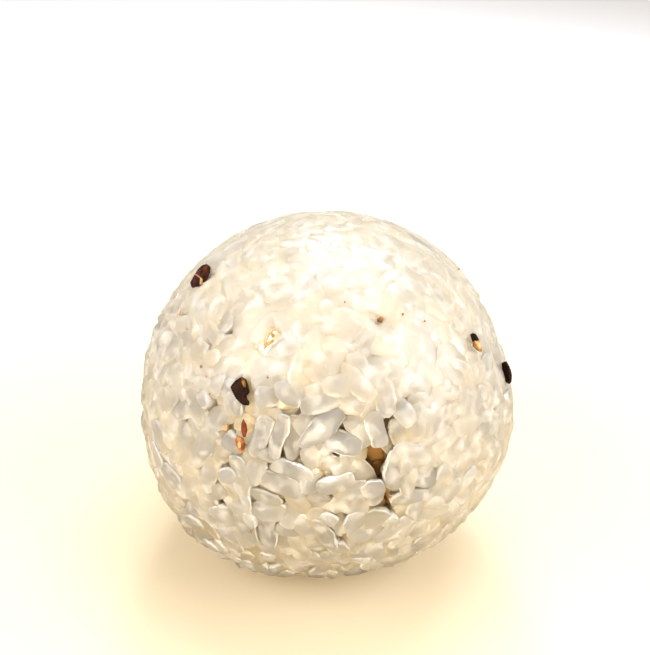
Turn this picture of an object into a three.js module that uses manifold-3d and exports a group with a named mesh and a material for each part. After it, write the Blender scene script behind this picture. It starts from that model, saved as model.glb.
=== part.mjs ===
// A round onigiri: cooked short-grain rice pressed by hand into one ball, with a few dark kernels of black
// rice in it. It is one solid, whose skin is the outside of all the grains that show, each at its true size
// and with few sides.
// Millimetres, +Z up. The origin is the middle of the flat spot that the ball rests on, and -Y is its front.
import * as THREE from "three";
import { ConvexGeometry } from "three/addons/geometries/ConvexGeometry.js";
import { mergeVertices } from "three/addons/utils/BufferGeometryUtils.js";
import Module from "manifold-3d";

// Driving sizes of the ball.
const BALL_RADIUS = 34;
const CENTRE_HEIGHT = 30.6; // the flat spot lies this far under the ball's centre

// Where the hands left the ball fuller or flatter than a sphere: the middle of each place, how far it stands
// out or lies in, and the angle over which that fades.
const SWELLS = [
  { azimuth: -43, elevation: -31, rise: 1.5, spread: 27 }, // fuller at the lower left
  { azimuth: 74, elevation: 3, rise: 0.9, spread: 17 }, // fuller at the right
  { azimuth: 84, elevation: 29, rise: -1.3, spread: 19 }, // flatter at the upper right
  { azimuth: 12, elevation: -38, rise: -1.1, spread: 24 }, // tucked in under the front
];

// A cooked grain of rice, and how such grains lie in the skin of the ball.
const GRAIN = { length: 7.4, width: 3.3, thickness: 3 };
const GRAIN_COUNT = 410; // with the kernels
const GRAIN_NEAREST = 2.55; // the lines through the middles of two grains lie this far apart or more
const SIZE_SPREAD = 0.16; // a grain is up to this share longer or shorter than the mean
const TILT_MOST = 7; // degrees that a grain's end dips into the ball or rises out of it
const SUNK_MOST = 0.55; // the deepest grains lie this far under the skin of the ball
const CORE_DEPTH = 1.6; // how deep the gaps between the grains go
const TRIES_MOST = 60000;

// The kernels of black rice and bits of husk: where each lies, its heading from the ball's east, and its
// share of the full size.
const KERNEL = { length: 5.6, width: 2.8, thickness: 2.6 };
const KERNELS = [
  { azimuth: -78, elevation: 47, heading: 60, size: 0.95 },
  { azimuth: -26, elevation: 30, heading: -62, size: 1.0 },
  { azimuth: -22, elevation: 22, heading: -78, size: 0.6 },
  { azimuth: -23, elevation: 17.5, heading: -65, size: 0.55 },
  { azimuth: 62, elevation: 38, heading: -80, size: 0.75 },
  { azimuth: 79.5, elevation: 19.5, heading: -75, size: 0.85 },
  { azimuth: 148, elevation: 12, heading: 20, size: 0.95 },
  { azimuth: -152, elevation: 34, heading: -35, size: 0.8 },
  { azimuth: -118, elevation: -12, heading: 75, size: 0.9 },
  { azimuth: 112, elevation: -22, heading: -15, size: 0.7 },
  { azimuth: 176, elevation: 61, heading: 50, size: 0.75 },
];

// The crack between the grains at the front, and how wide it gapes to each side of its line, from the upper
// end to the lower one.
const CRACK = { azimuth: 15.7, elevation: 13, heading: -73, length: 16, depth: 5.5 };
const CRACK_HALF_WIDTHS = [0.35, 0.6, 1.25, 0.9, 0.7, 0.3];

// Where the corners of a grain's facets lie: on its top, as shares of its half length and half width, and
// round its foot, where it meets its neighbours.
const TOP_CORNERS = [
  [0.72, 0],
  [0.34, 0.42],
  [-0.34, 0.42],
  [-0.72, 0],
  [-0.34, -0.42],
  [0.34, -0.42],
];
const TOP_CLEAR = 0.1; // a corner on top counts where it stands this far clear of the other grains
const FOOT_CORNERS = 12;
const FOOT_CORNERS_APART = 0.82;
const FOOT_SEARCH = { from: 0.4, to: 1.1, step: 0.06 };

const wasm = await Module();
wasm.setup();

// A number from 0 to 1, the same ones in every run.
let seed = 20260;
function random() {
  seed = (seed + 0x6d2b79f5) | 0;
  let t = Math.imul(seed ^ (seed >>> 15), 1 | seed);
  t = (t + Math.imul(t ^ (t >>> 7), 61 | t)) ^ t;
  return ((t ^ (t >>> 14)) >>> 0) / 2 ** 32;
}

const spread = (most) => most * (2 * random() - 1);
const radians = THREE.MathUtils.degToRad;

// The unit vector from the ball's centre: azimuth 0 is the front, 90 the right, and elevation counts up from
// the middle.
function towards(azimuth, elevation) {
  const a = radians(azimuth);
  const e = radians(elevation);
  return new THREE.Vector3(Math.sin(a) * Math.cos(e), -Math.cos(a) * Math.cos(e), Math.sin(e));
}

const swells = SWELLS.map((s) => ({ ...s, middle: towards(s.azimuth, s.elevation) }));

// How far the skin of the ball lies from its centre in a direction.
function reach(direction) {
  const rises = swells.map((s) => {
    const away = THREE.MathUtils.radToDeg(direction.angleTo(s.middle)) / s.spread;
    return s.rise * Math.exp(-away * away);
  });
  return rises.reduce((sum, rise) => sum + rise, BALL_RADIUS);
}

// A piece that lies in the skin, with its frame: z points out of the ball, and x along the piece. A heading
// of 0 points east, to the right of someone who faces that place, and 90 points to the top of the ball.
function lying({ direction, heading, tilt = 0, depth, length, width, thickness }) {
  const east = new THREE.Vector3(-direction.y, direction.x, 0).normalize();
  const north = direction.clone().cross(east);
  const turn = radians(heading);
  const along = east.multiplyScalar(Math.cos(turn)).addScaledVector(north, Math.sin(turn));
  const frame = new THREE.Matrix4().makeBasis(along, direction.clone().cross(along), direction);
  const distance = reach(direction) - depth;
  frame.setPosition(direction.clone().multiplyScalar(distance));
  const slope = Math.tan(radians(tilt));
  return { direction, distance, slope, length, width, thickness, frame, intoFrame: frame.clone().invert() };
}

// How far a grain's top lies from the ball's centre in a direction, and 0 beside the grain.
function topOf(grain, direction) {
  const facing = direction.dot(grain.direction);
  if (facing < 0.97) {
    return 0;
  }
  const place = direction.clone().multiplyScalar(grain.distance / facing).applyMatrix4(grain.intoFrame);
  const round = 1 - Math.abs((2 * place.x) / grain.length) ** 3 - ((2 * place.y) / grain.width) ** 2;
  if (round < 0) {
    return 0;
  }
  return (grain.distance + grain.slope * place.x + (grain.thickness / 2) * Math.sqrt(round)) / facing;
}

// The direction from the ball's centre of a place on a grain, in shares of its half length and half width.
function directionOn(grain, along, across) {
  const place = new THREE.Vector3((along * grain.length) / 2, (across * grain.width) / 2, 0);
  return place.applyMatrix4(grain.frame).normalize();
}

function randomDirection() {
  const height = 2 * random() - 1;
  const turn = 2 * Math.PI * random();
  const round = Math.sqrt(1 - height * height);
  return new THREE.Vector3(round * Math.cos(turn), round * Math.sin(turn), height);
}

// Three points along a grain, which keep other grains off it.
function spine(grain) {
  return [-0.6, 0, 0.6].map((along) => directionOn(grain, along, 0).multiplyScalar(grain.distance));
}

const clear = (points, others) => points.every((p) => others.every((q) => p.distanceTo(q) > GRAIN_NEAREST));

function darkKernels() {
  return KERNELS.map(({ azimuth, elevation, heading, size }) =>
    lying({
      direction: towards(azimuth, elevation),
      heading,
      depth: (KERNEL.thickness * size) / 2,
      length: KERNEL.length * size,
      width: KERNEL.width * size,
      thickness: KERNEL.thickness * size,
    }),
  );
}

// One grain after another, each in the first random place that is still free.
function allGrains() {
  const grains = darkKernels();
  const taken = grains.map(spine);
  for (let tries = 0; grains.length < GRAIN_COUNT && tries < TRIES_MOST; tries++) {
    const grain = lying({
      direction: randomDirection(),
      heading: 180 * random(),
      tilt: spread(TILT_MOST),
      depth: GRAIN.thickness / 2 + SUNK_MOST * random(),
      length: GRAIN.length * (1 + spread(SIZE_SPREAD)),
      width: GRAIN.width,
      thickness: GRAIN.thickness,
    });
    const points = spine(grain);
    if (taken.every((others) => clear(points, others))) {
      grains.push(grain);
      taken.push(points);
    }
  }
  return grains;
}

// How far the others of the grains reach from the ball's centre in a direction, or the gap's floor there.
function reachOfOthers(grains, one, direction) {
  const tops = grains.map((grain) => (grain === one ? 0 : topOf(grain, direction)));
  return Math.max(reach(direction) - CORE_DEPTH, ...tops);
}

const cornerAt = (direction, distance) => ({ direction, point: direction.clone().multiplyScalar(distance) });

// The corners on top of the grains that no other grain hides.
function topCorners(grains) {
  const corners = [];
  for (const grain of grains) {
    for (const [along, across] of TOP_CORNERS) {
      const direction = directionOn(grain, along, across);
      const distance = topOf(grain, direction);
      if (distance > reachOfOthers(grains, grain, direction) + TOP_CLEAR) {
        corners.push(cornerAt(direction, distance));
      }
    }
  }
  return corners;
}

// Where a grain ends at a neighbour or at the gap beside it, on the way out from its middle, or null where
// its neighbours cover its middle too.
function footOf(grains, grain, turn) {
  for (let share = FOOT_SEARCH.from; share < FOOT_SEARCH.to; share += FOOT_SEARCH.step) {
    const direction = directionOn(grain, share * Math.cos(turn), share * Math.sin(turn));
    const distance = reachOfOthers(grains, grain, direction);
    if (topOf(grain, direction) <= distance) {
      return share > FOOT_SEARCH.from ? cornerAt(direction, distance) : null;
    }
  }
  return null;
}

// The corners round the feet of the grains, with one for several that fall nearly in one place.
function footCorners(grains) {
  const corners = [];
  for (const grain of grains) {
    for (let i = 0; i < FOOT_CORNERS; i++) {
      const foot = footOf(grains, grain, (2 * Math.PI * (i + 0.5)) / FOOT_CORNERS);
      if (foot && corners.every((other) => other.point.distanceTo(foot.point) > FOOT_CORNERS_APART)) {
        corners.push(foot);
      }
    }
  }
  return corners;
}

// A closed skin over corners that each lie in their own direction from the centre: the convex hull of the
// directions says which corners make a facet.
function skinGeometry(corners) {
  const skin = new ConvexGeometry(corners.map((corner) => corner.direction));
  const keyOf = (direction) => direction.toArray().map(Math.fround).join();
  const points = new Map(corners.map(({ direction, point }) => [keyOf(direction), point]));
  const places = skin.attributes.position;
  const place = new THREE.Vector3();
  for (let i = 0; i < places.count; i++) {
    place.fromBufferAttribute(places, i);
    places.setXYZ(i, ...points.get(keyOf(place)).toArray());
  }
  return skin;
}

// A closed three.js geometry as a solid.
function solidOf(geometry) {
  const bare = geometry.clone();
  bare.deleteAttribute("normal");
  bare.deleteAttribute("uv");
  const merged = mergeVertices(bare, 1e-3);
  return new wasm.Manifold(
    new wasm.Mesh({
      numProp: 3,
      vertProperties: merged.attributes.position.array,
      triVerts: new Uint32Array(merged.index.array),
    }),
  );
}

// The crack's outline, extruded from its bottom to well outside the ball.
function crackGeometry() {
  const step = CRACK.length / (CRACK_HALF_WIDTHS.length + 1);
  const side = CRACK_HALF_WIDTHS.map((half, i) => [step * (i + 1) - CRACK.length / 2, half]);
  const outline = new THREE.Shape();
  outline.moveTo(-CRACK.length / 2, 0);
  side.forEach(([along, half]) => outline.lineTo(along, -half));
  outline.lineTo(CRACK.length / 2, 0);
  side.reverse().forEach(([along, half]) => outline.lineTo(along, half));
  outline.closePath();
  const solid = new THREE.ExtrudeGeometry(outline, { depth: 2 * CRACK.depth, bevelEnabled: false });
  const { frame } = lying({ ...CRACK, direction: towards(CRACK.azimuth, CRACK.elevation) });
  return solid.applyMatrix4(frame);
}

// Everything below the flat spot.
function belowTheTable() {
  const size = 4 * BALL_RADIUS;
  return new THREE.BoxGeometry(size, size, size).translate(0, 0, -CENTRE_HEIGHT - size / 2);
}

function geometryOf(solid) {
  const mesh = solid.getMesh();
  const geometry = new THREE.BufferGeometry();
  geometry.setAttribute("position", new THREE.BufferAttribute(mesh.vertProperties, 3));
  geometry.setIndex(new THREE.BufferAttribute(mesh.triVerts, 1));
  geometry.computeVertexNormals();
  return geometry;
}

function makeRiceBall() {
  const grains = allGrains();
  const skin = skinGeometry([...topCorners(grains), ...footCorners(grains)]);
  const ball = solidOf(skin).subtract(solidOf(crackGeometry())).subtract(solidOf(belowTheTable()));
  const cookedRice = new THREE.MeshStandardMaterial({ color: 0xefe6d3, roughness: 0.45, metalness: 0 });
  const mesh = new THREE.Mesh(geometryOf(ball), cookedRice);
  mesh.name = "rice_ball";
  mesh.position.z = CENTRE_HEIGHT;
  return mesh;
}

const onigiri = new THREE.Group();
onigiri.add(makeRiceBall());

export default onigiri;
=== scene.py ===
"""Looks of a round onigiri: cooked short-grain rice pressed by hand into a ball, with kernels of black rice.

The grains are laid out in millimetres from the ball's centre, and the meshes are metres in the part's frame.
"""
import math

import bpy
import numpy as np
from mathutils import Matrix, Vector


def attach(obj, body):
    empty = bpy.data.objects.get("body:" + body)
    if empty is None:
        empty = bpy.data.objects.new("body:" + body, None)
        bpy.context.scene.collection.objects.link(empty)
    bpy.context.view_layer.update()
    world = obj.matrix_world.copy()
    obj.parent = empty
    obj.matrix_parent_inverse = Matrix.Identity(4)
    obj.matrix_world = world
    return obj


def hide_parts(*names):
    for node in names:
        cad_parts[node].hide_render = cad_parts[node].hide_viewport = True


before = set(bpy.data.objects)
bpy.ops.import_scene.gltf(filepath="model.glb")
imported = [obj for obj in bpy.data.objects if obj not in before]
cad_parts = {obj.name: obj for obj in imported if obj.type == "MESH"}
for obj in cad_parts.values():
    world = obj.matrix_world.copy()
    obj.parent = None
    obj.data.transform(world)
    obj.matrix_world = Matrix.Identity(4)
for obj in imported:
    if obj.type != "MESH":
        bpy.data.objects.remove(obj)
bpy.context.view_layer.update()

MM = 0.001

# The ball: a sphere with a flat spot under it, fuller or flatter in a few places
BALL_RADIUS = 34.0
CENTRE_HEIGHT = 30.6  # over the table
SWELLS = [  # azimuth, elevation, rise, spread
    (-43, -31, 1.5, 27),
    (74, 3, 0.9, 17),
    (84, 29, -1.3, 19),
    (12, -38, -1.1, 24),
]

# The heap of grains in the skin of the ball
GRAIN_COUNT = 2150
GRAIN_LENGTH = 6.6
GRAIN_WIDTH = 3.7
GRAIN_THICKNESS = 2.9
HEAP_FLOOR = 28.6  # no grain's middle lies nearer to the centre
CORE_DEPTHS = (1.1, 2.5)  # how far under the skin the core lies, where pressed and free
SUNK_MOST = (0.25, 1.35)  # how much deeper some of the outer grains lie than others, where pressed and free
PROUD = 0.5  # grains stand out this far before the palms press them down
BESIDE_FRONT = 0.12  # how much deeper the grains between those that stand out lie
PRESSED_TOGETHER = (0.56, 0.68)  # the share of their width that grains keep, where pressed and free
BROKEN_SHARE = 0.07
BROKEN_LENGTHS = (0.5, 0.75)  # as shares of a whole grain
SHORT_GRAIN = 4.9  # shorter grains have a broken end
RAISED = (0.12, 0.08)  # how steeply grains lie at first, and how much more so where they stand free
TIPPED = 0.4  # the spread of how much deeper one end of a grain lies than its middle, as a share of SUNK_MOST
FRONT_THICKNESS = 0.82  # of the grains at the front, as a share of their width

# How the grains are settled
PACKING_STEPS = 150
LOOK_ROUND_EVERY = 6  # steps between two searches for neighbours
NEIGHBOURS_WITHIN = 8.2  # grains whose middles are further apart don't push each other
FIXED_WITHIN = 2.6  # and what is fixed pushes nothing that lies further outside it
PUSH_APART = 0.3  # the share of an overlap that two grains give way each step
PUSH_OFF_FIXED = 0.6
LONGEST_MOVE = 0.8
OUTWARD_EACH_STEP = 0.05  # towards the skin
LEVELLING = 0.85  # the share of its slant that a grain keeps at each step

# The surface of the grains
SKIN_GIVE = 0.1  # the palms flatten what stands out from this far under the skin
KEPT_PROUD = (0.32, 0.53)  # the share that still stands out, and how much more where grains stand free
BROAD_UNEVENNESS = (4.2, 0.3, 5)  # wavelength, amount, seed
FINE_UNEVENNESS = (1.9, 0.12, 8)
CORE_UNEVENNESS = (5.0, 0.35, 9)

# The finish of the grains
CLOUDS = (420, 3)  # the scale and detail of the clouds in the grains
WET_FILM = (1400, 2)  # and of the film of water on them
ROUGHNESS = (0.3, 0.5)
FILM_ENDS = (1.6, 3.2)  # the film of water gives way between these depths under the skin
LIGHT_SPREAD = (0.76, 0.95)  # how far a grain is lit as the ball's skin is: on its sides, and at its rim
RIM_BETWEEN = (0.6, 0.33)  # cosines of a grain's turn from the ball's skin where its rim, with its painted highlight, starts and is full
SHADED_WITHIN = 0.0011  # metres within which other grains count as near
OPEN_BETWEEN = (0.35, 0.75)  # how open a place is, from where the painted rim highlight may show to where it shows in full
CREASE_LIGHT_BETWEEN = (0.82, 0.5)  # and from where the painted golden crease light may show to where it shows in full
CHALKY_BETWEEN = (0.5, 0.75)  # clouds this dense let less light through
CHALKY_MOST = 0.45  # how much less, at most, as a share
LIGHT_THROUGH = 0.74  # the share of light that comes through from inside a grain
GRAIN_SHADE_DEPTHS = (0.45, 2.2)  # painted shade: the colour turns from pale to honey between these depths under the skin
CORE_SHADE_DEPTHS = (0.8, 2.6)
SHADE_GOLD_AFTER = 1.8  # and from honey to a darker painted shade of gold over this much more
GRAIN_PALE = ((0.91, 0.862, 0.77, 1), (0.86, 0.78, 0.60, 1))  # the whitest grain, and the yellowest
# painted shade: the core shows only at the bottom of the gaps, so it is tan
CORE_SHADE_TAN = ((0.80, 0.68, 0.46, 1), (0.80, 0.68, 0.46, 1))
# painted highlight: the white of the grains' rims
RIM_HIGHLIGHT = (1.0, 0.97, 0.905, 1)
# painted crease light, golden where other grains are near
CREASE_LIGHT = (1.0, 0.935, 0.77, 1)
# painted shade deeper under the skin, honey and then gold
SHADE_HONEY = (0.96, 0.84, 0.57, 1)
SHADE_GOLD = (0.44, 0.21, 0.045, 1)
GRAIN_GLOW = ((1, 0.965, 0.885, 1), (1, 0.92, 0.70, 1))  # light through the whitest grain, and the yellowest
# the same painted crease light, in the light through the grains
CREASE_LIGHT_GLOW = (1, 0.955, 0.86, 1)

# The finish of the kernels and husks
WRINKLES = (900, 4)  # scale and detail
PATCHES_BETWEEN = (0.42, 0.66)

rng = np.random.default_rng(64)


# ---------------------------------------------------------------- the form of the ball

def towards(azimuth, elevation):
    """Unit vector from the centre: azimuth 0 is the front, 90 the right; elevation is above the middle."""
    a, e = math.radians(azimuth), math.radians(elevation)
    return np.array([math.sin(a) * math.cos(e), -math.cos(a) * math.cos(e), math.sin(e)])


def unit(vectors):
    return vectors / np.maximum(np.linalg.norm(vectors, axis=-1, keepdims=True), 1e-9)


def reach(directions):
    """How far the skin of the ball lies from its centre."""
    far = np.full(directions.shape[:-1], BALL_RADIUS)
    for azimuth, elevation, rise, spread in SWELLS:
        away = np.degrees(np.arccos(np.clip(directions @ towards(azimuth, elevation), -1, 1)))
        far = far + rise * np.exp(-((away / spread) ** 2))
    return far


def smoothstep(value, low, high):
    t = np.clip((value - low) / (high - low), 0, 1)
    return t * t * (3 - 2 * t)


def looseness(directions):
    """0 where the palms pressed the grains flush, as at the top, and 1 where they stand free, as in front."""
    elevation = np.degrees(np.arcsin(np.clip(directions[..., 2], -1, 1)))
    right = smoothstep(directions @ towards(70, 10), 0.4, 0.9)
    left = smoothstep(directions @ towards(-80, 15), 0.4, 0.9)
    return (1 - smoothstep(elevation, 20, 49)) * (1 - 0.75 * right) * (1 - 0.6 * left)


# ---------------------------------------------------------------- how the grains lie

# The grains that stand out at the front: azimuth and elevation of both ends, width, how deep each end lies,
# and how yellow the grain is
FRONT_GRAINS = [
    (-34, 18, -37, 3, 3.9, -0.3, -0.3, 0.0),
    (-42, 15, -43, 0, 3.3, 0.3, 0.2, 0.1),
    (-46, 25, -37, 17, 3.2, 0.0, -0.2, 0.0),
    (-37, 38, -39, 30, 2.9, 0.1, 0.0, 0.1),
    (-49, 38, -51, 31, 3.1, 0.1, 0.0, 0.1),
    (-40, -6, -28, -14, 3.4, 0.1, -0.1, 0.2),
    (-31, -14, -23, -23, 3.2, 0.2, 0.0, 0.2),
    (-40, -14, -31, -24, 3.1, 0.9, 0.7, 0.3),
    (-31, 6, -23, -2, 3.3, 0.7, 0.5, 1.0),
    (-25, 13, -20, 1, 3.2, 0.3, -0.2, 0.2),
    (-29, 16, -30, 8, 3.1, 0.9, 0.7, 0.3),
    (-17, 26, -20, 14, 3.0, 0.0, -0.2, 0.0),
    (-22, 34, -18, 28, 3.2, 0.1, 0.1, 0.1),
    (-12, 28, -14, 15, 2.7, 0.0, -0.1, 0.0),
    (-9, 28, -9, 15, 2.7, 0.8, 0.6, 0.2),
    (-7, 20, 5, 30, 3.5, -0.5, -0.1, 0.0),
    (-5, 20, -1, 14, 3.1, 0.6, 0.3, 0.2),
    (-15, 14, -2, 12, 2.7, 0.2, 0.0, 0.1),
    (-18, 9, -4, 7, 3.6, 0.1, -0.2, 0.1),
    (-20, 3, -10, 1, 3.3, 0.5, 0.3, 0.2),
    (-23, -4, -18, -16, 3.3, 0.1, -0.1, 0.1),
    (-14, -2, -14, -16, 3.6, 0.1, -0.2, 0.1),
    (-6, -9, -4, -22, 3.2, 0.2, 0.0, 0.3),
    (-4, -18, 5, -27, 3.0, 0.3, 0.1, 0.3),
    (-12, -19, -9, -31, 2.8, 0.5, 0.3, 0.4),
    (-1, 8, 9, 12, 3.3, 0.1, -0.1, 0.0),
    (-5, 5, 3, 2, 3.7, 1.1, 0.9, 0.3),
    (3, 5, 13, 1, 3.8, 0.5, 0.2, 0.2),
    (10, 7, 17.6, 9, 3.2, -0.2, -0.1, 0.0),
    (-1, -2, 5, -15, 3.7, -0.1, -0.2, 0.2),
    (4, -1, 9, -8, 3.2, 0.5, 0.4, 0.2),
    (11, -5, 20, -2, 3.6, 0.6, 0.4, 0.2),
    (11, -9, 20, -15, 4.0, 0.6, 0.5, 1.0),
    (4, -14, 10, -17, 3.6, 0.2, 0.1, 0.4),
    (21, 19, 20, 7, 3.5, 0.0, 0.0, 0.1),
    (25, 13, 24, 4, 2.7, 0.1, 0.0, 0.1),
    (32, 18, 29, 9, 2.9, 0.0, 0.1, 0.1),
    (14, 30, 16, 20, 3.3, 0.0, 0.1, 0.0),
    (8, 30, 12, 20, 3.8, 0.6, 0.6, 0.2),
    (22, 28, 24, 17, 3.4, 0.7, 0.5, 0.2),
    (2, 34, 13, 31, 4.3, 0.2, 0.2, 0.1),
    (-18, 34, -8, 32, 3.3, 0.1, 0.0, 0.1),
    (-8, 34, 1, 35, 3.2, 0.3, 0.3, 0.1),
    (21, 39, 23, 32, 2.7, 0.1, 0.1, 0.0),
]

# Small holes between the grains: azimuth, elevation, half width
HOLES = [
    (-29, 19, 0.5), (-27, 9, 0.4), (-12, 16, 0.3), (-7, 17, 0.3), (-15, 12, 0.3), (-18, 5, 0.3),
    (-10, 2, 0.35), (-9, 29, 0.6), (-11, 27, 0.4), (-5, 6, 0.3), (-1, 7, 0.4), (3, 5, 0.3),
    (5, 26, 0.6), (3, 19, 0.3), (8, 11, 0.3), (14, 2, 0.4), (7, -9, 0.5), (20, 27, 0.5),
    (32, 10, 0.3), (27, 6, 0.3), (31, 5, 0.3), (41, 5, 0.35), (52, 17, 0.4), (-1, -17, 0.3),
    (-29, -5, 0.6), (-44, -4, 0.4), (-45, 15, 0.3), (-36, 23, 0.25), (-50, 19, 0.25), (-18, -9, 0.3),
    (-2, 31, 0.35), (26, 32, 0.4), (13, 44, 0.2), (-47, 38, 0.3), (-43, 46, 0.4), (-58, 33, 0.25),
]
HOLE_DEPTH = 3.4

# The crack at the front, from above, and the two arms that fork upwards from its top: azimuth, elevation,
# half width
CRACK = [
    (15.7, 20.5, 0.8), (15.6, 17.5, 1.5), (16.6, 14.0, 1.2), (17.6, 10.5, 0.5), (18.7, 7.5, 0.8),
    (19.2, 4.5, 0.6), (19.5, 2.0, 0.5), (20.5, -1.0, 0.3),
]
LEFT_ARM = [(13.6, 22.5, 0.4), (12.0, 25.0, 0.3), (11.3, 27.0, 0.2)]
RIGHT_ARM = [(17.6, 22.8, 0.5), (19.4, 25.2, 0.5), (20.0, 27.6, 0.35)]
CRACK_DEPTH = 4.2

# How far the grains keep off the middle of a crack or hole: so many times its half width, and so much more
KEEP_OFF = 1.4
OFF_CRACK = 0.75
OFF_HOLE = 0.5

# Kernels of black rice, by name: azimuth and elevation of the place, and of the way the face looks,
# thickness, height over the skin, and the outline, to the right and up
BLACK_KERNELS = {
    "broken_kernel": (-26.8, 30.5, -13, 32, 2.2, 0.5, [
        (-0.3, 2.15), (0.35, 1.9), (0.75, 0.95), (1.25, 0.0), (0.75, -0.75), (1.6, -1.85), (0.75, -1.95),
        (-0.5, -1.2), (-1.7, 0.3), (-1.2, 1.3)]),
    "hooked_kernel": (-78, 47, -39, 44, 1.6, 0.7, [
        (0.7, 2.35), (0.15, 2.45), (-0.6, 1.9), (-0.95, 1.05), (-1.0, -0.35), (-0.85, -1.6), (-0.05, -2.2),
        (0.85, -1.45), (1.45, -1.1), (0.85, -0.25), (0.95, 0.65), (0.65, 1.5)]),
    "slim_kernel": (62, 38, 31, 38, 1.2, 0.7, [
        (-0.4, 1.8), (0.05, 1.55), (0.35, 0.7), (0.4, 0.3), (-0.3, 0.2), (-0.35, 0.85)]),
    "edge_kernel": (79.5, 19.5, 40, 27, 1.5, 0.8, [
        (-0.45, 2.0), (0.05, 2.0), (0.4, 1.05), (0.55, 0.15), (0.55, -0.8), (0.2, -1.75), (-0.25, -2.0),
        (-0.55, -1.55), (-0.35, -0.6), (-0.2, 0.2), (-0.3, 1.1)]),
    "rear_kernel": (148, 12, 148, 12, 1.8, 0.3, [
        (-2.2, 0.4), (-1.0, 1.2), (0.8, 1.1), (2.3, 0.2), (1.2, -0.9), (-0.9, -1.0)]),
    "rear_chip": (-152, 34, -152, 34, 1.6, 0.3, [
        (-1.4, 1.5), (0.1, 1.0), (1.7, -0.4), (1.3, -1.5), (-0.2, -0.9), (-1.6, 0.4)]),
    "side_kernel": (-118, -12, -118, -12, 1.8, 0.3, [
        (-0.6, 2.3), (0.6, 1.7), (1.1, -0.2), (0.7, -2.1), (-0.4, -2.2), (-1.0, -0.2)]),
}
# Scraps of husk, in the same way
HUSKS = {
    "amber_husk": (-26.8, 30.5, -13, 32, 0.5, 0.62, [
        (-0.1, 2.4), (0.5, 2.05), (0.95, 1.0), (0.6, 1.0), (0.15, 1.6)]),
    "dot_husk": (20.7, 53.6, 10, 44, 0.8, 0.35, [
        (0.45, 0.35), (0.0, 0.5), (-0.5, 0.1), (-0.35, -0.4), (0.2, -0.45), (0.5, -0.1)]),
    "red_husk": (-22.6, 21.8, -11, 28, 0.8, 0.5, [
        (-0.4, 1.4), (0.1, 0.75), (0.5, -0.3), (0.4, -1.2), (0.05, -1.3), (-0.4, -0.45), (-0.55, 0.6)]),
    "brown_husk": (-22.9, 17.5, -11, 26, 0.8, 0.5, [
        (-0.7, 1.2), (0.35, 1.0), (0.8, 0.0), (0.7, -1.0), (0.2, -1.25), (-0.5, -0.5), (-0.85, 0.5)]),
    "husk_middle": (-22.9, 17.5, -11, 26, 0.3, 0.6, [
        (-0.2, 0.4), (0.2, 0.2), (0.3, -0.4), (0.0, -0.6), (-0.35, -0.1)]),
    "kernel_scar": (-78, 47, -39, 44, 0.3, 0.8, [
        (-0.6, 0.05), (0.1, 0.0), (0.75, -0.1), (0.8, -0.3), (0.1, -0.2), (-0.6, -0.15)]),
    "kernel_rim": (-78, 47, -39, 44, 0.5, 0.72, [
        (0.8, -0.15), (1.1, -0.2), (1.75, -1.1), (1.45, -1.3), (1.05, -0.6)]),
    "tan_husk": (62, 38, 31, 38, 1.0, 0.7, [
        (0.4, 0.35), (0.5, -0.35), (0.55, -1.35), (0.35, -1.75), (0.0, -1.4), (-0.45, -0.75), (-0.7, -0.5),
        (-0.35, 0.25)]),
    "strip_husk": (-22.8, 45.8, -11, 40, 0.4, 0.5, [
        (-1.0, -1.4), (-0.6, -1.3), (-0.5, 0.5), (-0.3, 1.15), (0.25, 1.45), (0.25, 1.9), (-0.3, 1.85),
        (-0.75, 1.4), (-0.95, 0.6)]),
    "curl_husk": (-22.8, 45.8, -11, 40, 0.4, 0.5, [
        (0.2, 1.45), (0.75, 1.4), (1.1, 1.1), (1.25, 1.35), (0.9, 1.85), (0.2, 1.95)]),
    "small_husk": (-28.5, 20, -13, 27, 0.4, 0.3, [
        (0.35, 0.5), (-0.3, 0.4), (-0.5, 0.1), (-0.1, -0.55), (0.4, -0.3)]),
    "olive_husk": (-27, 42.5, -13, 38, 0.4, 0.3, [
        (-0.6, 0.1), (-0.1, 0.35), (0.5, 0.2), (0.6, -0.15), (0.0, -0.35), (-0.5, -0.25)]),
    "wedge_husk": (-22.8, 45.8, -11, 40, 0.4, 0.6, [
        (-0.65, -2.1), (-0.2, -1.5), (0.6, -0.6), (0.45, -0.35), (-0.2, -0.8), (-0.75, -1.3)]),
    "orange_husk": (-22.3, 46.5, -11, 40, 0.4, 0.6, [
        (-0.2, 0.45), (0.3, 0.2), (0.2, -0.2), (-0.15, -0.25), (-0.3, 0.1)]),
    "faint_husk": (-69, 37.3, -35, 38, 0.4, 0.5, [
        (-0.25, 0.5), (0.15, 0.4), (0.3, -0.4), (-0.1, -0.55), (-0.3, -0.1)]),
}
# Specks of bran: azimuth, elevation, half width
BRAN_SPECKS = [
    (-43.5, 31.5, 0.24), (-40, 30, 0.18), (-36.5, 26.5, 0.16), (-36, 22, 0.2), (-59, 36.5, 0.22),
    (-46.5, 44.5, 0.2), (-19.5, 36, 0.18), (41, 50.5, 0.16), (-18, -9, 0.3), (32, 54, 0.2), (5, 59, 0.16),
    (130, 30, 0.2), (-140, 5, 0.2), (160, -10, 0.2), (-170, 45, 0.2), (100, 50, 0.2), (-100, 20, 0.2),
]
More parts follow.
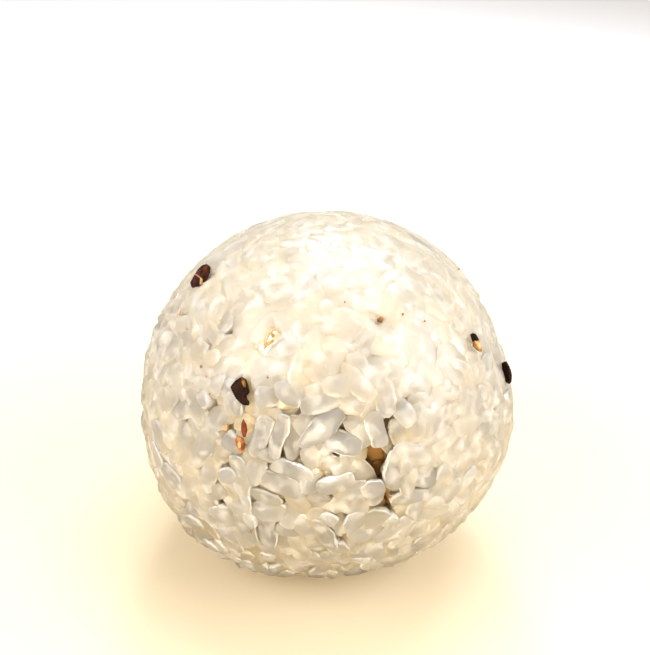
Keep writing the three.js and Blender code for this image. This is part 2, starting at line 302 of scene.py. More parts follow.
# The darker and the lighter parts of each scrap of husk
HUSK_COLOURS = {
    "amber_husk": ((0.08, 0.03, 0.005), (0.28, 0.13, 0.025)),
    "dot_husk": ((0.13, 0.05, 0.015), (0.38, 0.19, 0.06)),
    "red_husk": ((0.03, 0.003, 0.001), (0.22, 0.05, 0.012)),
    "brown_husk": ((0.16, 0.04, 0.008), (0.50, 0.22, 0.07)),
    "husk_middle": ((0.55, 0.30, 0.14), (0.66, 0.44, 0.26)),
    "kernel_scar": ((0.24, 0.11, 0.05), (0.40, 0.22, 0.11)),
    "kernel_rim": ((0.46, 0.24, 0.08), (0.66, 0.42, 0.18)),
    "tan_husk": ((0.30, 0.11, 0.02), (0.72, 0.46, 0.20)),
    "small_husk": ((0.36, 0.19, 0.06), (0.55, 0.36, 0.16)),
    "strip_husk": ((0.44, 0.29, 0.13), (0.58, 0.44, 0.25)),
    "curl_husk": ((0.42, 0.29, 0.14), (0.52, 0.39, 0.22)),
    "olive_husk": ((0.42, 0.36, 0.20), (0.55, 0.48, 0.32)),
    "wedge_husk": ((0.38, 0.22, 0.05), (0.50, 0.33, 0.12)),
    "orange_husk": ((0.32, 0.14, 0.03), (0.42, 0.23, 0.08)),
    "faint_husk": ((0.44, 0.27, 0.17), (0.58, 0.42, 0.31)),
}


def east_and_north(direction):
    """The directions along the skin of the ball, level to the right and upwards."""
    east = unit(np.stack([-direction[..., 1], direction[..., 0], np.zeros(direction.shape[:-1])], axis=-1))
    return east, np.cross(direction, east)


def crack_line():
    """The crack and its fork at short steps: places on the ball and half widths."""
    top = CRACK[0]
    places, half_widths = [], []
    for arm in (CRACK, [top, *LEFT_ARM], [top, *RIGHT_ARM]):
        for (a0, e0, w0), (a1, e1, w1) in zip(arm, arm[1:]):
            for share in (0, 0.33, 0.67, 1):
                places.append(towards(a0 + (a1 - a0) * share, e0 + (e1 - e0) * share))
                half_widths.append(w0 + (w1 - w0) * share)
    return np.array(places), np.array(half_widths)


def place_front_grains():
    """Centres, axes and sizes of the grains that stand out at the front."""
    a0, e0, a1, e1, width, deep0, deep1, yellow = np.array(FRONT_GRAINS, dtype=float).T
    thickness = FRONT_THICKNESS * width
    ends = []
    for azimuths, elevations, deep in ((a0, e0, deep0), (a1, e1, deep1)):
        out = np.array([towards(a, e) for a, e in zip(azimuths, elevations)])
        ends.append(out * (reach(out) - thickness / 2 - deep + 0.2)[:, None])
    along = ends[1] - ends[0]
    return (ends[0] + ends[1]) / 2, unit(along), np.linalg.norm(along, axis=1), width, thickness, yellow


def spheres_in_scraps():
    """Spheres that keep the grains off the kernels and husks, under and over each corner of an outline."""
    for azimuth, elevation, *_, outline in [*BLACK_KERNELS.values(), *HUSKS.values()]:
        out = towards(azimuth, elevation)
        east, north = east_and_north(out)
        for x, y in outline:
            for height in (-0.8, 0.9):
                yield out * (reach(out) + height) + 0.7 * (x * east + y * north), 1.0


def spheres_in_front_grains():
    """Spheres that keep the other grains off those that stand out at the front."""
    centre, axis, length, width, _, _ = place_front_grains()
    for share in (-1, -0.33, 0.33, 1):
        yield from zip(centre + axis * ((length - width) / 2 * share)[:, None], width * 0.34)


def spheres_in_hollows():
    """Spheres that keep the grains out of the crack, which narrows downwards, and out of the holes."""
    for out, half_width in zip(*crack_line()):
        for depth in np.arange(0, CRACK_DEPTH, 0.8):
            yield out * (reach(out) - depth), (KEEP_OFF * half_width + OFF_CRACK) * (1 - 0.1 * depth)
    for azimuth, elevation, half_width in HOLES:
        out = towards(azimuth, elevation)
        for depth in (-0.6, 0.4, 1.4, 2.4):
            yield out * (reach(out) - depth), KEEP_OFF * half_width + OFF_HOLE


def fixed_spheres():
    """Everything that the grains are packed round: centres and radii."""
    places, radii = zip(*spheres_in_scraps(), *spheres_in_front_grains(), *spheres_in_hollows())
    return np.array(places), np.array(radii)


def near_pairs(centres, within):
    """Each pair of centres that lie nearer to each other than within, once."""
    square = np.sum(centres**2, axis=1)
    apart = square[:, None] + square[None, :] - 2 * centres @ centres.T
    return np.nonzero(np.triu(apart < within**2, 1))


def draw_grains():
    """The grains before they are packed: centres, axes, lengths, widths and thicknesses."""
    size = rng.normal(1.0, 0.1, GRAIN_COUNT).clip(0.76, 1.22)
    length = GRAIN_LENGTH * size
    width = GRAIN_WIDTH * rng.normal(1.0, 0.06, GRAIN_COUNT).clip(0.86, 1.16)
    broken = rng.random(GRAIN_COUNT) < BROKEN_SHARE
    length[broken] *= rng.uniform(*BROKEN_LENGTHS, broken.sum())
    thickness = GRAIN_THICKNESS * rng.normal(1.0, 0.06, GRAIN_COUNT).clip(0.86, 1.16)

    out = unit(rng.normal(size=(2 * GRAIN_COUNT, 3)))
    crowded = rng.random(2 * GRAIN_COUNT) < 1 - 0.1 * looseness(out)  # more lie where they are pressed
    out = out[crowded][:GRAIN_COUNT]
    centre = out * rng.uniform(HEAP_FLOOR + 1.2, BALL_RADIUS - 1.2, GRAIN_COUNT)[:, None]
    east, north = east_and_north(out)
    turn = rng.uniform(0, math.pi, GRAIN_COUNT)[:, None]
    raised = rng.normal(0, 1, GRAIN_COUNT) * (RAISED[0] + RAISED[1] * looseness(out))
    axis = unit(np.cos(turn) * east + np.sin(turn) * north + out * raised[:, None])
    return centre, axis, length, width, thickness


def push_each_other(spheres, first, second, reaches):
    """How far the three spheres of each grain are pushed by the grains beside them."""
    move = np.zeros_like(spheres)
    for a in range(3):
        for b in range(3):
            delta = spheres[second, b] - spheres[first, a]
            apart = np.linalg.norm(delta, axis=1)
            overlap = reaches - apart
            hit = overlap > 0
            push = (PUSH_APART * overlap[hit] / np.maximum(apart[hit], 1e-6))[:, None] * delta[hit]
            for k in range(3):
                move[:, a, k] -= np.bincount(first[hit], push[:, k], GRAIN_COUNT)
                move[:, b, k] += np.bincount(second[hit], push[:, k], GRAIN_COUNT)
    return move


def push_off_fixed(spheres, pushed, away_from, reaches):
    """How far the spheres are pushed by those that don't move."""
    delta = spheres.reshape(-1, 3)[pushed] - away_from
    apart = np.linalg.norm(delta, axis=1)
    overlap = np.maximum(0, reaches - apart)
    push = (PUSH_OFF_FIXED * overlap / np.maximum(apart, 1e-6))[:, None] * delta
    columns = [np.bincount(pushed, push[:, k], 3 * GRAIN_COUNT).reshape(-1, 3) for k in range(3)]
    return np.stack(columns, axis=-1)


def pack_grains():
    """Settle the grains against the skin from inside, as palms press them: centres, axes, sizes."""
    centre, axis, length, width, thickness = draw_grains()
    half = ((length - width) / 2)[:, None, None]
    radius_alone = np.sqrt(width * thickness) / 2
    sunk = rng.beta(1.0, 1.3, GRAIN_COUNT)[:, None]
    tipped = rng.normal(0, TIPPED, GRAIN_COUNT)[:, None]
    fixed, fixed_radius = fixed_spheres()
    front = unit(place_front_grains()[0])

    spots = np.array([-1.0, 0.0, 1.0])
    for step in range(PACKING_STEPS):
        grown = min(1.0, 0.5 + 0.5 * step / (0.45 * PACKING_STEPS))
        spheres = centre[:, None] + axis[:, None] * half * spots[:, None]
        if step % LOOK_ROUND_EVERY == 0:
            first, second = near_pairs(centre, NEIGHBOURS_WITHIN)
            tight, free = PRESSED_TOGETHER
            radius = radius_alone * (tight + (free - tight) * looseness(unit(centre)))
            at = spheres.reshape(-1, 3)
            square = np.sum(at**2, axis=1)[:, None] + np.sum(fixed**2, axis=1) - 2 * at @ fixed.T
            pushed, pusher = np.nonzero(square < (fixed_radius + FIXED_WITHIN) ** 2)
        move = push_each_other(spheres, first, second, (radius[first] + radius[second]) * grown)
        move += push_off_fixed(spheres, pushed, fixed[pusher], radius[pushed // 3] + fixed_radius[pusher])
        long_moves = np.linalg.norm(move, axis=2, keepdims=True)
        spheres += move * np.minimum(1, LONGEST_MOVE / np.maximum(long_moves, 1e-6))

        out = unit(spheres)
        spheres += out * OUTWARD_EACH_STEP
        far = np.linalg.norm(spheres, axis=2)
        middle_far = far.mean(axis=1, keepdims=True)
        level = middle_far + LEVELLING * (far - middle_far)
        deeper = SUNK_MOST[0] + (SUNK_MOST[1] - SUNK_MOST[0]) * looseness(out)
        lowered = deeper * (sunk + np.abs(tipped) + tipped * spots) - PROUD
        beside_front = smoothstep((unit(centre) @ front.T).max(axis=1), math.cos(0.2), math.cos(0.08))
        lowered += BESIDE_FRONT * beside_front[:, None]
        most = reach(out) - (thickness / 2)[:, None] - lowered
        spheres *= (np.clip(level, HEAP_FLOOR, np.maximum(most, HEAP_FLOOR)) / far)[..., None]
        spheres[..., 2] = np.maximum(spheres[..., 2], -CENTRE_HEIGHT + (thickness / 2)[:, None])

        centre = spheres.mean(axis=1)
        axis = unit(spheres[:, 2] - spheres[:, 0])
    return centre, axis, length, width, thickness


# ---------------------------------------------------------------- modelling

def deselect_all():
    if bpy.context.mode != "OBJECT":
        bpy.ops.object.mode_set(mode="OBJECT")
    bpy.ops.object.select_all(action="DESELECT")


def select_vertices(piece, wanted):
    """In edit mode, select the vertices whose places satisfy wanted."""
    bpy.ops.mesh.select_all(action="DESELECT")
    bpy.ops.object.mode_set(mode="OBJECT")
    for vertex in piece.data.vertices:
        vertex.select = wanted(vertex.co)
    bpy.ops.object.mode_set(mode="EDIT")


def model_grain(name, bend=0.0, flat_end=0.0, notch=0.0, taper=0.0, fine=False):
    """One grain, 2 units long along x, 2 wide along y and 2 thick along z, with blunt ends."""
    deselect_all()
    bpy.ops.mesh.primitive_uv_sphere_add(segments=10, ring_count=7, radius=1, rotation=(0, math.pi / 2, 0))
    grain = bpy.context.object
    grain.name = name
    bpy.ops.object.transform_apply(location=False, rotation=True, scale=False)
    bpy.ops.object.mode_set(mode="EDIT")
    # blunt ends and straight sides
    select_vertices(grain, lambda co: 0.8 < abs(co.x) < 0.95)
    bpy.ops.transform.resize(value=(1.02, 1.5, 1.4))
    select_vertices(grain, lambda co: 0.5 < abs(co.x) < 0.75)
    bpy.ops.transform.resize(value=(1.0, 1.13, 1.1))
    # flatter over and under, as pressed grains are
    select_vertices(grain, lambda co: abs(co.z) > 0.75)
    bpy.ops.transform.resize(value=(1.0, 1.7, 0.84))
    select_vertices(grain, lambda co: 0.4 < abs(co.z) < 0.7 and abs(co.x) < 0.75)
    bpy.ops.transform.resize(value=(1.0, 1.1, 0.95))
    if flat_end:
        select_vertices(grain, lambda co: co.x > 0.95)
        bpy.ops.transform.translate(value=(-flat_end, 0.1, 0))
    if notch:
        select_vertices(grain, lambda co: co.x > 0.5 and co.y > 0.15)
        bpy.ops.transform.translate(value=(-notch, -0.08, 0))
    if taper:
        select_vertices(grain, lambda co: co.x < -0.3)
        bpy.ops.transform.resize(value=(1, 1 - taper, 1 - taper))
    if bend:
        select_vertices(grain, lambda co: abs(co.x) > 0.75)
        bpy.ops.transform.translate(value=(0, bend, 0))
        select_vertices(grain, lambda co: abs(co.x) < 0.3)
        bpy.ops.transform.translate(value=(0, -bend * 0.7, 0))
    if fine:
        bpy.ops.mesh.select_all(action="SELECT")
        bpy.ops.transform.resize(value=(1.02, 1.06, 1.06))
        select_vertices(grain, lambda co: abs(co.x) > 0.8)
        bpy.ops.transform.resize(value=(1.0, 1.16, 1.1))
    bpy.ops.object.mode_set(mode="OBJECT")
    if fine:
        rounding = grain.modifiers.new("rounding", "SUBSURF")
        rounding.levels = 1
        bpy.ops.object.modifier_apply(modifier="rounding")
    return grain


def shape_of(master):
    """A master's corners and faces, as arrays; the master is then deleted."""
    mesh = master.data
    corners = np.empty(3 * len(mesh.vertices))
    mesh.vertices.foreach_get("co", corners)
    faces = [tuple(polygon.vertices) for polygon in mesh.polygons]
    deselect_all()
    bpy.data.objects.remove(master)
    return corners.reshape(-1, 3), faces


def press_into_skin(points):
    """Grains end flush where the palms pressed them, and flat on the table under the ball."""
    far = np.linalg.norm(points, axis=1)
    out = points / far[:, None]
    skin = reach(out)
    over = far - (skin - SKIN_GIVE)
    knee = np.where(over > 0, over * (KEPT_PROUD[0] + KEPT_PROUD[1] * looseness(out)), over)
    pressed = out * (skin - SKIN_GIVE + knee)[:, None]
    pressed[:, 2] = np.maximum(pressed[:, 2], -CENTRE_HEIGHT)
    return pressed


def uneven(points, wavelength, amount, seed):
    """A smooth random shift of each point, so that no two grains are alike."""
    waves = np.random.default_rng(seed)
    shift = np.zeros_like(points)
    for _ in range(10):
        direction = unit(waves.normal(size=3)) * 2 * math.pi / wavelength * waves.uniform(0.7, 1.4)
        push = unit(waves.normal(size=3))
        shift += np.sin(points @ direction + waves.uniform(0, 6.28))[:, None] * push
    return points + shift * amount / math.sqrt(10)


def joined_copies(name, shape, places):
    """One piece of many copies of a shape. places: the centre, axis, roll, half sizes and tone of each."""
    corners, faces = shape
    centres, axes, rolls, halves, tones = places
    count = len(centres)
    out = unit(centres)
    normal = unit(out - axes * np.sum(out * axes, axis=1, keepdims=True))
    across = np.cross(normal, axes)
    turned_normal = np.cos(rolls)[:, None] * normal + np.sin(rolls)[:, None] * across
    across = np.cross(turned_normal, axes)
    local = corners[None] * halves[:, None]
    points = (
        centres[:, None]
        + local[..., 0:1] * axes[:, None]
        + local[..., 1:2] * across[:, None]
        + local[..., 2:3] * turned_normal[:, None]
    ).reshape(-1, 3)
    points = press_into_skin(uneven(uneven(points, *BROAD_UNEVENNESS), *FINE_UNEVENNESS))
    mesh = bpy.data.meshes.new(name)
    step = len(corners)
    all_faces = [tuple(step * i + v for v in face) for i in range(count) for face in faces]
    metres = points * MM + np.array([0, 0, CENTRE_HEIGHT * MM])
    mesh.from_pydata(metres.tolist(), [], all_faces)
    mesh.polygons.foreach_set("use_smooth", np.ones(len(all_faces), dtype=bool))
    tone = mesh.attributes.new("grain_tone", "FLOAT", "POINT")
    tone.data.foreach_set("value", np.repeat(tones, step).astype(np.float32))
    depth = mesh.attributes.new("depth", "FLOAT", "POINT")
    below = reach(unit(points)) - np.linalg.norm(points, axis=1)
    depth.data.foreach_set("value", below.astype(np.float32))
    piece = bpy.data.objects.new(name, mesh)
    bpy.context.scene.collection.objects.link(piece)
    return piece


# ---------------------------------------------------------------- finishes

def node(tree, kind, **settings):
    made = tree.nodes.new(kind)
    for key, value in settings.items():
        setattr(made, key, value)
    return made


def feed(tree, socket, value):
    """Link another node's output to a socket, or set the socket to a plain value."""
    if isinstance(value, bpy.types.NodeSocket):
        tree.links.new(value, socket)
    else:
        socket.default_value = value


def map_range(tree, value, low, high, to_low=0.0, to_high=1.0, **settings):
    made = node(tree, "ShaderNodeMapRange", **settings)
    for name, number in (("From Min", low), ("From Max", high), ("To Min", to_low), ("To Max", to_high)):
        made.inputs[name].default_value = number
    tree.links.new(value, made.inputs["Value"])
    return made.outputs["Result"]


def blend(tree, share, first, second, kind="RGBA"):
    """A mix of two colours or directions."""
    made = node(tree, "ShaderNodeMix", data_type=kind)
    tree.links.new(share, made.inputs["Factor"])
    feed(tree, made.inputs["A"], first)
    feed(tree, made.inputs["B"], second)
    return made.outputs["Result"]


def combine(tree, kind, operation, first, second):
    """The result of a Math or Vector Math node with two inputs."""
    made = node(tree, kind, operation=operation)
    feed(tree, made.inputs[0], first)
    feed(tree, made.inputs[1], second)
    return next(output for output in made.outputs if output.enabled)


def noise(tree, place, scale, detail):
    made = node(tree, "ShaderNodeTexNoise")
    made.inputs["Scale"].default_value = scale
    made.inputs["Detail"].default_value = detail
    tree.links.new(place, made.inputs["Vector"])
    return made.outputs["Fac"]


def raised_by(tree, height, strength, distance, normal=None):
    """The normal of a surface with this fine relief."""
    made = node(tree, "ShaderNodeBump")
    made.inputs["Strength"].default_value = strength
    made.inputs["Distance"].default_value = distance
    tree.links.new(height, made.inputs["Height"])
    if normal is not None:
        tree.links.new(normal, made.inputs["Normal"])
    return made.outputs["Normal"]


def new_finish(name):
    material = bpy.data.materials.new(name)
    material.use_nodes = True
    return material, material.node_tree, material.node_tree.nodes["Principled BSDF"]


def rice_finish(name, light_through, depths, pale):
    """Cooked rice: pale and glowing in the skin, with painted highlights on the rims and painted golden light
    in the creases, then painted shade, honey and gold, further down.
    """
    material, tree, shader = new_finish(name)
    depth = node(tree, "ShaderNodeAttribute", attribute_name="depth").outputs["Fac"]
    tone = node(tree, "ShaderNodeAttribute", attribute_name="grain_tone").outputs["Fac"]
    place = node(tree, "ShaderNodeTexCoord").outputs["Object"]
    surface = node(tree, "ShaderNodeNewGeometry").outputs["Normal"]
    cloud = noise(tree, place, *CLOUDS)
    open_to_air = node(tree, "ShaderNodeAmbientOcclusion", samples=6)
    open_to_air.inputs["Distance"].default_value = SHADED_WITHIN

    # where the grains are free, and where their rims turn away from the skin of the ball: there a painted
    # highlight whitens them
    from_centre = combine(tree, "ShaderNodeVectorMath", "SUBTRACT", place, (0, 0, CENTRE_HEIGHT * MM))
    outward = node(tree, "ShaderNodeVectorMath", operation="NORMALIZE")
    tree.links.new(from_centre, outward.inputs[0])
    outward = outward.outputs["Vector"]
    upright = combine(tree, "ShaderNodeVectorMath", "DOT_PRODUCT", surface, outward)
    by_edge = map_range(tree, upright, *RIM_BETWEEN)
    by_opening = map_range(tree, open_to_air.outputs["AO"], *OPEN_BETWEEN)
    highlit_rim = combine(tree, "ShaderNodeMath", "MULTIPLY", by_edge, by_opening)

    # painted crease light: where other grains are near, the colour turns a little golden and lighter, as
    # light scattered between the grains makes it
    crease_light_share = map_range(tree, open_to_air.outputs["AO"], *CREASE_LIGHT_BETWEEN)
    # painted shade: deeper under the skin the colour turns honey, then gold
    shade_by_depth = map_range(tree, depth, *depths)
    deeper_shade = map_range(tree, depth, depths[1], depths[1] + SHADE_GOLD_AFTER)
    depth_shade = blend(tree, deeper_shade, SHADE_HONEY, SHADE_GOLD)
    crease_lit = blend(tree, crease_light_share, blend(tree, tone, *pale), CREASE_LIGHT)
    rim_highlighted = blend(tree, highlit_rim, crease_lit, RIM_HIGHLIGHT)
    tree.links.new(blend(tree, shade_by_depth, rim_highlighted, depth_shade), shader.inputs["Base Color"])

    tree.links.new(map_range(tree, cloud, 0, 1, *ROUGHNESS), shader.inputs["Roughness"])
    shader.inputs["IOR"].default_value = 1.38
    shader.subsurface_method = "BURLEY"  # grains overlap, which a random walk shows as dark seams
    shader.inputs["Subsurface Weight"].default_value = 0.3
    shader.inputs["Subsurface Radius"].default_value = (1.0, 0.92, 0.8)
    shader.inputs["Subsurface Scale"].default_value = 0.0015
    # a wet film, with no shine from the bottom of the hollows
    tree.links.new(map_range(tree, depth, *FILM_ENDS, 1.0, 0.0), shader.inputs["Coat Weight"])
    shader.inputs["Coat Roughness"].default_value = 0.13
    shader.inputs["Coat IOR"].default_value = 2.0
    shader.inputs["Sheen Weight"].default_value = 0.15
    shader.inputs["Sheen Roughness"].default_value = 0.4
    # light spreads inside the grains, so their sides are lit nearly as the ball's skin is
    lit_as = blend(tree, map_range(tree, highlit_rim, 0, 1, *LIGHT_SPREAD), surface, outward, "VECTOR")
    uneven_skin = raised_by(tree, cloud, 0.25, 0.0002, lit_as)
    wet_skin = raised_by(tree, noise(tree, place, *WET_FILM), 0.4, 0.0001, uneven_skin)
    tree.links.new(wet_skin, shader.inputs["Normal"])
    tree.links.new(wet_skin, shader.inputs["Coat Normal"])
    if not light_through:
        return material

    # light also comes through from inside the grains, but less in their chalky clouds and at their rims,
    # where the painted highlight is; in the creases and further down it takes the painted crease light and
    # painted shade
    glow = blend(tree, crease_light_share, blend(tree, tone, *GRAIN_GLOW), CREASE_LIGHT_GLOW)
    through = node(tree, "ShaderNodeBsdfTranslucent")
    tree.links.new(blend(tree, shade_by_depth, glow, depth_shade), through.inputs["Color"])
    chalky = map_range(tree, cloud, *CHALKY_BETWEEN, 0.0, CHALKY_MOST)
    chalk_and_rim_highlight = combine(tree, "ShaderNodeMath", "MAXIMUM", highlit_rim, chalky)
    both = node(tree, "ShaderNodeMixShader")
    tree.links.new(map_range(tree, chalk_and_rim_highlight, 0, 1, light_through, 0.0), both.inputs["Fac"])
    tree.links.new(shader.outputs["BSDF"], both.inputs[1])
    tree.links.new(through.outputs["BSDF"], both.inputs[2])
    tree.links.new(both.outputs["Shader"], tree.nodes["Material Output"].inputs["Surface"])
    return material


def husk_finish(name, darker, lighter):
    """The skin of a kernel or husk: dark, dull and wrinkled, with lighter patches."""
    material, tree, shader = new_finish(name)
    cloud = noise(tree, node(tree, "ShaderNodeTexCoord").outputs["Object"], *WRINKLES)
    patches = map_range(tree, cloud, *PATCHES_BETWEEN)
    tree.links.new(blend(tree, patches, (*darker, 1), (*lighter, 1)), shader.inputs["Base Color"])
    shader.inputs["Roughness"].default_value = 0.45
    shader.inputs["Specular IOR Level"].default_value = 0.08
    tree.links.new(raised_by(tree, cloud, 0.4, 0.0003), shader.inputs["Normal"])
    return material


# ---------------------------------------------------------------- the pieces

def in_hollow(points):
    """How far each point is in the crack, and how far in a hole: 1 in the middle and 0 beside it."""
    line, half_widths = crack_line()
    holes = np.array([towards(azimuth, elevation) for azimuth, elevation, _ in HOLES])
    middle = np.vstack([line, holes]) * BALL_RADIUS
    wide = np.concatenate([half_widths, [half_width for *_, half_width in HOLES]])
    away = np.linalg.norm(points[:, None] - middle[None], axis=2) - wide
    crack = 1 - smoothstep(away[:, :len(line)].min(axis=1), 0.0, 1.6)
    hole = 1 - smoothstep(away[:, len(line):].min(axis=1), 0.3, 1.6)
    return crack, hole


def make_core(finish):
    """The pressed rice under the grains, with the crack and the holes sunk in it."""
    deselect_all()
    bpy.ops.mesh.primitive_ico_sphere_add(subdivisions=6, radius=1)
    core = bpy.context.object
    core.name = "rice_core"
    places = np.empty(3 * len(core.data.vertices))
    core.data.vertices.foreach_get("co", places)
    out = unit(places.reshape(-1, 3))
    skin = reach(out)
    deep = CORE_DEPTHS[0] + (CORE_DEPTHS[1] - CORE_DEPTHS[0]) * looseness(out)
    crack, hole = in_hollow(out * BALL_RADIUS)
    deep = deep + hole * np.maximum(0, HOLE_DEPTH - deep)
    deep = deep + crack * (CRACK_DEPTH + 1.0 - deep)
    points = uneven(out * (skin - deep)[:, None], *CORE_UNEVENNESS)
    points[:, 2] = np.maximum(points[:, 2], -CENTRE_HEIGHT)
    below = skin - np.linalg.norm(points, axis=1)
    core.data.vertices.foreach_set("co", ((points + np.array([0, 0, CENTRE_HEIGHT])) * MM).ravel())
    core.data.materials.append(finish)
    bpy.ops.object.shade_smooth()
    depth = core.data.attributes.new("depth", "FLOAT", "POINT")
    depth.data.foreach_set("value", below.astype(np.float32))
    return core


def make_rice(finish):
    """All the grains: one piece for each kind, and for each kind in front one of finer shape."""
    heap = pack_grains()
    front = place_front_grains()
    centre, axis, length, width, thickness = [np.concatenate([a, b]) for a, b in zip(heap, front)]
    count = len(centre)
    rolls = rng.normal(0, 0.3, count)
    halves = np.stack([length, width, thickness], axis=1) / 2
    # painted warm light: the grains in front are a quarter yellower than their listed tone, as light
    # scattered between the grains would make them
    tones = np.concatenate([0.5 * rng.beta(1.2, 3.0, GRAIN_COUNT), front[5] + 0.25])
    kind = rng.integers(0, 4, count)
    flip = rng.random(count) < 0.5
    axis[flip] *= -1
    kind[length < SHORT_GRAIN] = 4
    forms = [
        ("long_grain", {"taper": 0.12}),
        ("plump_grain", {"flat_end": 0.12}),
        ("bent_grain", {"bend": 0.14}),
        ("notched_grain", {"notch": 0.22}),
        ("broken_grain", {"flat_end": 0.3, "taper": 0.1}),
    ]
    in_front = np.arange(count) >= GRAIN_COUNT
    pieces = []
    for fine, prefix in ((False, ""), (True, "front_")):
        for number, (name, form) in enumerate(forms):
            shape = shape_of(model_grain(prefix + name, fine=fine, **form))
            own = (kind == number) & (in_front == fine)
            places = centre[own], axis[own], rolls[own], halves[own], tones[own]
            piece = joined_copies(prefix + name + "s", shape, places)
            piece.data.materials.append(finish)
            pieces.append(piece)
    return pieces


def make_scrap(name, form, finish):
    """A kernel or scrap of husk in the skin: an outline thickened, rounded over and set in its place."""
    azimuth, elevation, face_azimuth, face_elevation, thickness, height, outline = form
    deselect_all()
    bpy.ops.mesh.primitive_circle_add(vertices=len(outline), radius=1, fill_type="NGON")
    scrap = bpy.context.object
    scrap.name = name
    for vertex, (x, y) in zip(scrap.data.vertices, outline):
        vertex.co = (x * 0.85, y * 0.85, -thickness)
    bpy.ops.object.mode_set(mode="EDIT")
    bpy.ops.mesh.select_all(action="SELECT")
    for rise, spread in ((0.6, 1.2), (0.25, 1.0), (0.15, 0.75)):
        bpy.ops.mesh.extrude_region_move(TRANSFORM_OT_translate={"value": (0, 0, thickness * rise)})
        bpy.ops.transform.resize(value=(spread, spread, 1))
    bpy.ops.mesh.select_all(action="SELECT")
    bpy.ops.transform.edge_crease(value=0.8)
    bpy.ops.mesh.normals_make_consistent(inside=False)
    bpy.ops.object.mode_set(mode="OBJECT")
    rounding = scrap.modifiers.new("rounding", "SUBSURF")
    rounding.levels = 2
    bpy.ops.object.modifier_apply(modifier="rounding")
    bpy.ops.object.shade_smooth()
    out, face = towards(azimuth, elevation), towards(face_azimuth, face_elevation)
    right, up = east_and_north(face)
    place = out * (reach(out) + height) + np.array([0, 0, CENTRE_HEIGHT])
    turned = Matrix([[*right], [*up], [*face]]).transposed() * MM
    scrap.matrix_world = Matrix.Translation(Vector(place * MM)) @ turned.to_4x4()
    bpy.ops.object.transform_apply(location=True, rotation=True, scale=True)
    scrap.data.materials.append(finish)
    return scrap


def make_specks(finish):
    """Tiny rounded specks of bran, half sunk in the skin."""
    specks = []
    for azimuth, elevation, half_width in BRAN_SPECKS:
        out = towards(azimuth, elevation)
        place = (out * (reach(out) + 0.25) + np.array([0, 0, CENTRE_HEIGHT])) * MM
        deselect_all()
        bpy.ops.mesh.primitive_ico_sphere_add(subdivisions=2, radius=half_width * MM, location=place)
        speck = bpy.context.object
        bpy.ops.transform.resize(value=(1, 0.8, 1.3))
        bpy.ops.object.transform_apply(location=True, rotation=True, scale=True)
        bpy.ops.object.shade_smooth()
        specks.append(speck)
    deselect_all()
    for speck in specks:
        speck.select_set(True)
    bpy.context.view_layer.objects.active = specks[0]
    bpy.ops.object.join()
    specks[0].name = "bran_specks"
    specks[0].data.materials.append(finish)
    return specks[0]


# ---------------------------------------------------------------- stage, light, camera

CREAM, PALE_FLOOR = (0.82, 0.69, 0.46, 1), (0.86, 0.84, 0.80, 1)  # under the ball, and away from it
CREAM_BETWEEN = (0.07, 0.26)  # metres from the ball's middle
CAMERA_PITCH, CAMERA_ROLL = 30.4, 4.3
CAMERA_LENS = 49.47
CAMERA_PLACE = (-1.206, -139.036, 95.826)  # from the ball's centre
LIGHT_BOUNCES = 12  # light goes a long way between the grains


def make_stage():
    deselect_all()
    bpy.ops.mesh.primitive_plane_add(size=6, location=(0, 0, 0))
    floor = bpy.context.object
    floor.name = "pale_floor"
    material, tree, shader = new_finish("pale_floor_finish")
    away = node(tree, "ShaderNodeVectorMath", operation="LENGTH")
    tree.links.new(node(tree, "ShaderNodeTexCoord").outputs["Object"], away.inputs[0])
    paler = map_range(tree, away.outputs["Value"], *CREAM_BETWEEN, interpolation_type="SMOOTHSTEP")
    tree.links.new(blend(tree, paler, CREAM, PALE_FLOOR), shader.inputs["Base Color"])
    shader.inputs["Roughness"].default_value = 0.7
    floor.data.materials.append(material)


def add_softbox(name, place, size, watts, colour):
    """A square soft light that looks at the middle of the ball."""
    data = bpy.data.lights.new(name, "AREA")
    data.shape = "SQUARE"
    data.size = size
    data.energy = watts
    data.color = colour
    light = bpy.data.objects.new(name, data)
    light.location = place
    aim = -np.array(place) + np.array([0, 0, 0.03])
    light.rotation_euler = Vector(aim).to_track_quat("-Z", "Y").to_euler()
    bpy.context.scene.collection.objects.link(light)


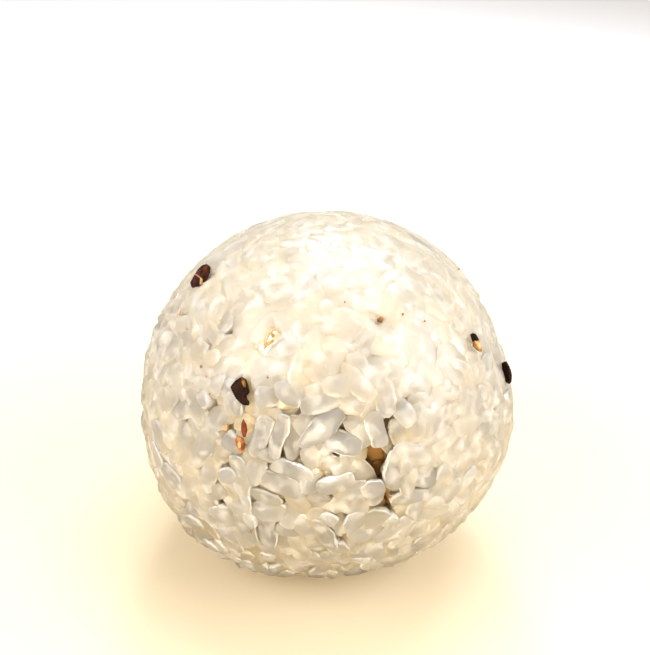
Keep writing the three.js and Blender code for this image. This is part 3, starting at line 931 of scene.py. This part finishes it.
def light_the_scene():
    world = bpy.data.worlds.new("studio")
    world.use_nodes = True
    world.node_tree.nodes["Background"].inputs["Color"].default_value = (1, 0.94, 0.89, 1)
    world.node_tree.nodes["Background"].inputs["Strength"].default_value = 0.64
    bpy.context.scene.world = world
    add_softbox("key_softbox", (0.04, 0.20, 0.53), 0.4, 2.25, (0.82, 0.93, 1.12))
    add_softbox("back_softbox", (-0.05, 0.38, 0.42), 0.1, 0.8, (0.9, 0.96, 1))
    add_softbox("left_softbox", (-0.40, -0.25, 0.35), 0.4, 2.15, (0.97, 0.98, 1.07))
    add_softbox("right_softbox", (0.45, -0.10, 0.35), 0.4, 2.2, (0.96, 0.99, 1.1))
    add_softbox("front_softbox", (0.02, -0.50, 0.12), 0.22, 1.4, (1, 0.87, 0.66))


def place_camera():
    pitch, roll = math.radians(CAMERA_PITCH), math.radians(CAMERA_ROLL)
    level_right = Vector((1, 0, 0))
    level_up = Vector((0, math.sin(pitch), math.cos(pitch)))
    ahead = Vector((0, math.cos(pitch), -math.sin(pitch)))
    right = math.cos(roll) * level_right + math.sin(roll) * level_up
    up = math.cos(roll) * level_up - math.sin(roll) * level_right
    data = bpy.data.cameras.new("table_camera")
    data.lens = CAMERA_LENS
    data.sensor_width = 36
    data.clip_start = 0.01
    data.clip_end = 20
    camera = bpy.data.objects.new("table_camera", data)
    matrix = Matrix((right, up, -ahead)).transposed().to_4x4()
    x, y, z = CAMERA_PLACE
    matrix.translation = Vector((x, y, z + CENTRE_HEIGHT)) * MM
    camera.matrix_world = matrix
    bpy.context.scene.collection.objects.link(camera)
    bpy.context.scene.camera = camera


place_camera()
rice = rice_finish("cooked_rice", LIGHT_THROUGH, GRAIN_SHADE_DEPTHS, GRAIN_PALE)
inner_rice = rice_finish("inner_rice", 0, CORE_SHADE_DEPTHS, CORE_SHADE_TAN)
black = husk_finish("black_rice", (0.005, 0.002, 0.001), (0.030, 0.008, 0.003))
core = make_core(inner_rice)
grains = make_rice(rice)
dark_red = husk_finish("dark_red_rice", (0.016, 0.005, 0.003), (0.10, 0.027, 0.012))
scraps = []
for name, form in BLACK_KERNELS.items():
    scraps.append(make_scrap(name, form, dark_red if name == "hooked_kernel" else black))
for name, form in HUSKS.items():
    scraps.append(make_scrap(name, form, husk_finish(name + "_skin", *HUSK_COLOURS[name])))
scraps.append(make_specks(husk_finish("bran", (0.30, 0.16, 0.06), (0.60, 0.42, 0.22))))
for piece in [core, *grains, *scraps]:
    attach(piece, "root")
    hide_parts("rice_ball")
bpy.context.scene.cycles.diffuse_bounces = LIGHT_BOUNCES
make_stage()
light_the_scene()
bpy.context.scene.view_settings.view_transform = "Standard"
